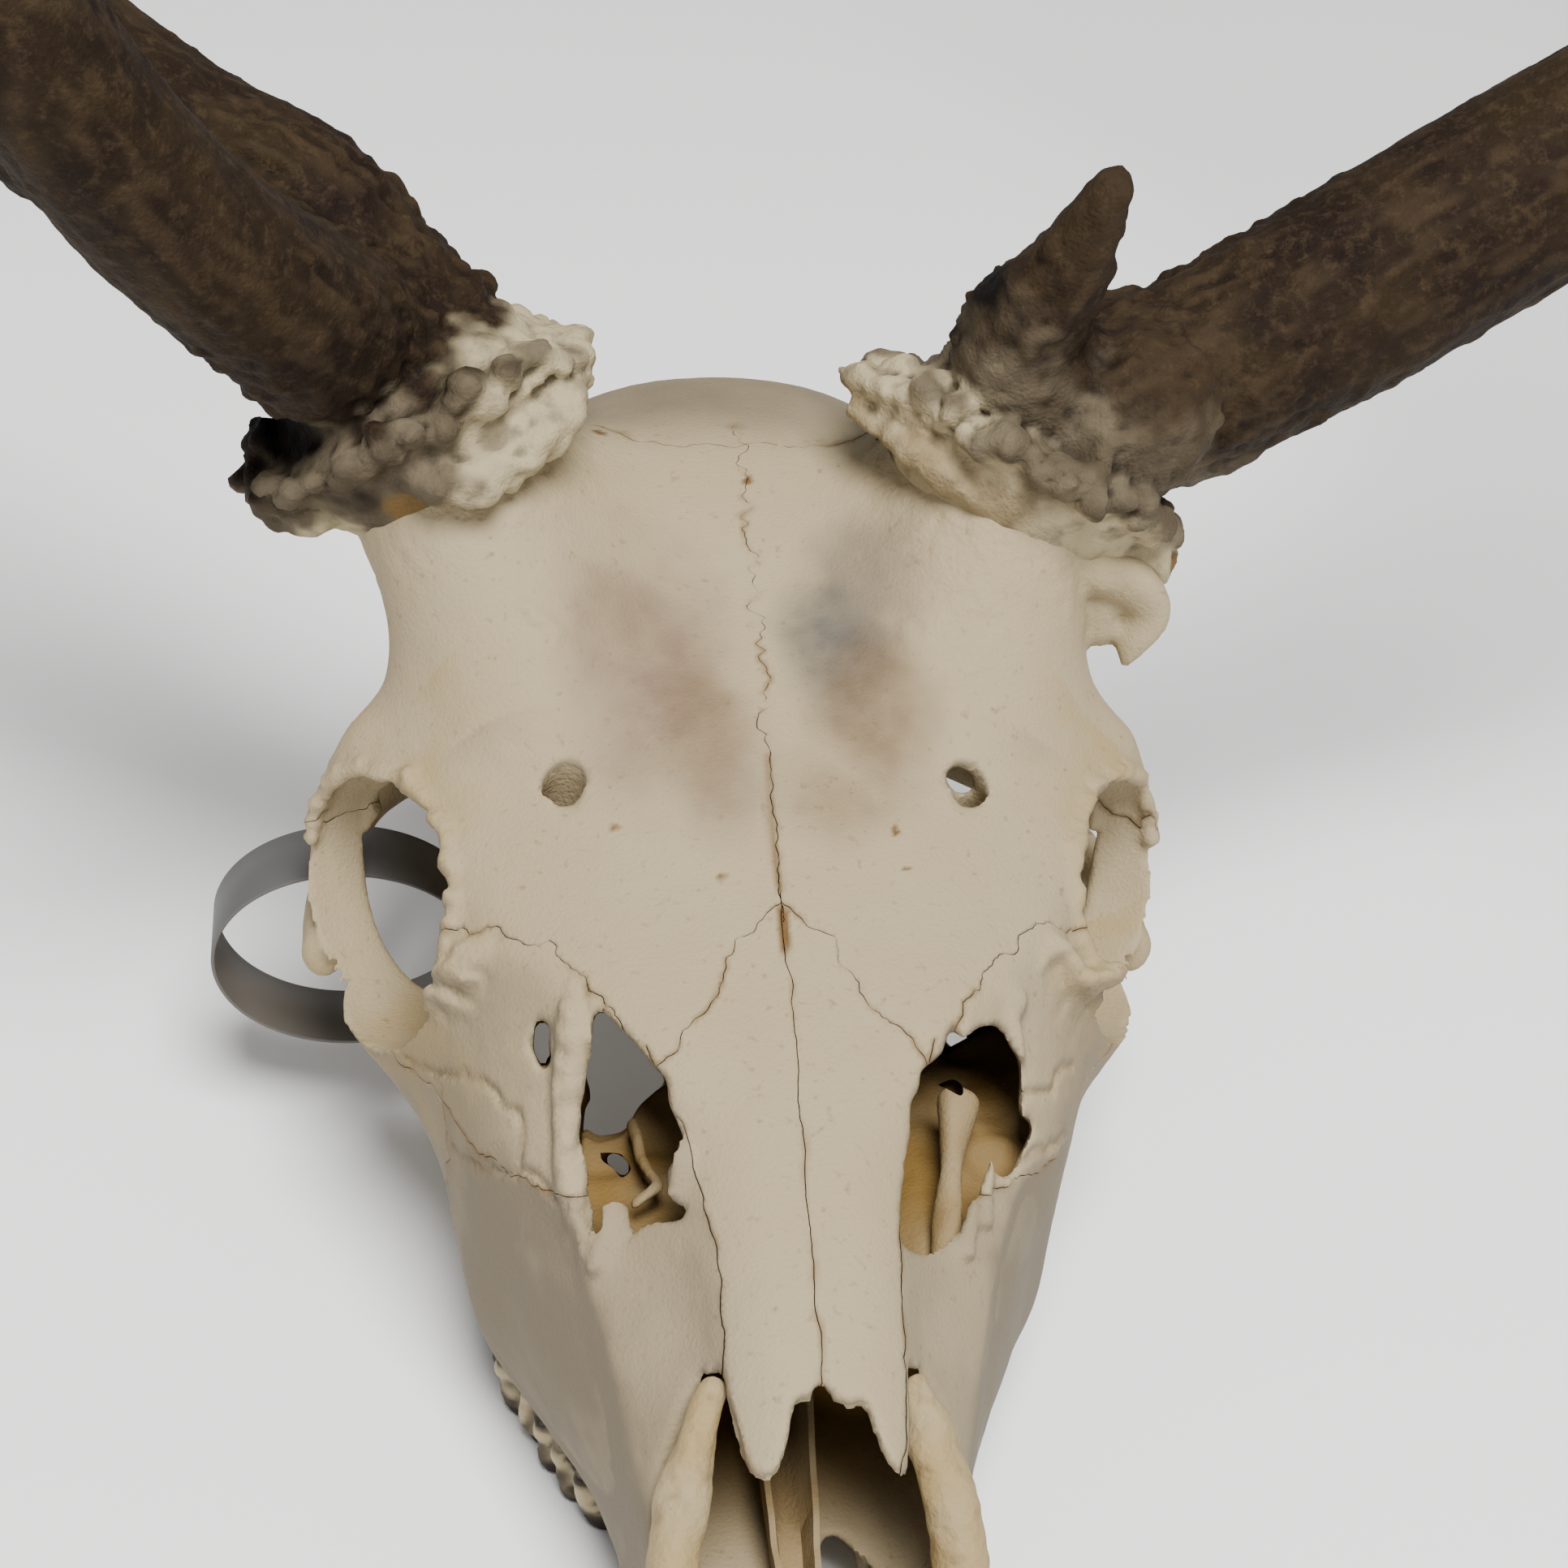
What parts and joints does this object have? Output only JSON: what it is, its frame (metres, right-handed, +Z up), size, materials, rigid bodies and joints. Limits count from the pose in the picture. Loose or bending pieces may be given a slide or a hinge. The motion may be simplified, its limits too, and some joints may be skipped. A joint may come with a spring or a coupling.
{
  "type": "deer skull with antlers",
  "caption": "Life-size fallow deer skull without its lower jaw, with palmate antlers and a plain label band round a cheek arch, as a still display model.",
  "frame": {"origin": "middle of the bounding box in plan, at the level that the cheek teeth and the neck points rest on", "axes": "+X towards the animal's left, +Y from the muzzle to the back of the head, +Z up, towards the antlers' tops"},
  "size_m": [0.4266, 0.3092, 0.5004],
  "materials": {
    "bone": "satin, dry cleaned bone",
    "antler": "matte, dry brown antler",
    "tape": "semi-gloss plain tape"
  },
  "bodies": {
    "root": {"cranium": "bone", "frontal_left": "bone", "frontal_right": "bone", "nasal_left": "bone", "nasal_right": "bone", "lacrimal_left": "bone", "lacrimal_right": "bone", "zygomatic_left": "bone", "zygomatic_right": "bone", "maxilla_left": "bone", "maxilla_right": "bone", "premaxilla_left": "bone", "premaxilla_right": "bone", "vomer": "bone", "antler_left_lower_beam": "antler", "antler_left_upper_beam": "antler", "antler_left_palm": "antler", "antler_left_brow_tine": "antler", "antler_left_middle_tine": "antler", "antler_right_lower_beam": "antler", "antler_right_upper_beam": "antler", "antler_right_palm": "antler", "antler_right_brow_tine": "antler", "antler_right_middle_tine": "antler", "tag_band": "tape"}
  },
  "joints": []
}
